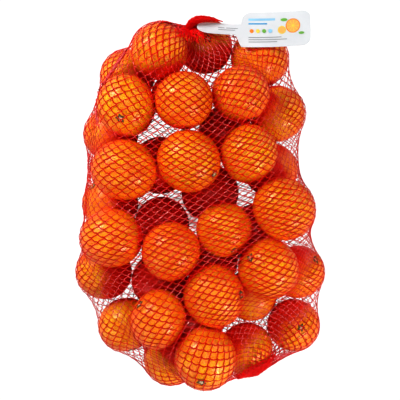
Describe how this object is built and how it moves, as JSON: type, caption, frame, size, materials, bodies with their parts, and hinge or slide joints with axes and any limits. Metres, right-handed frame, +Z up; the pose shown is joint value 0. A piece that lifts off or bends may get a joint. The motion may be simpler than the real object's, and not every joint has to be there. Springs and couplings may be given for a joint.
{
  "type": "net of oranges",
  "caption": "Long net bag of oranges lying flat in two layers, knitted red yarn drawn taut over the fruit, both ends gathered, with a blank film label at the top gather.",
  "frame": {"origin": "on the table, under the middle of the whole object's box", "axes": "+Z up, out of the side that is shown; +Y along the bag towards its labelled gather; +X across it towards the label's free end"},
  "size_m": [0.289, 0.4286, 0.1262],
  "materials": {
    "orange_peel": "waxy pored peel, seen through red net",
    "net_yarn": "glossy knitted plastic yarn",
    "label_film": "white semi-gloss film"
  },
  "bodies": {
    "root": {"filled_net": "orange_peel", "top_gather_tail": "net_yarn", "bottom_gather_tail": "net_yarn", "film_label": "label_film"}
  },
  "joints": []
}
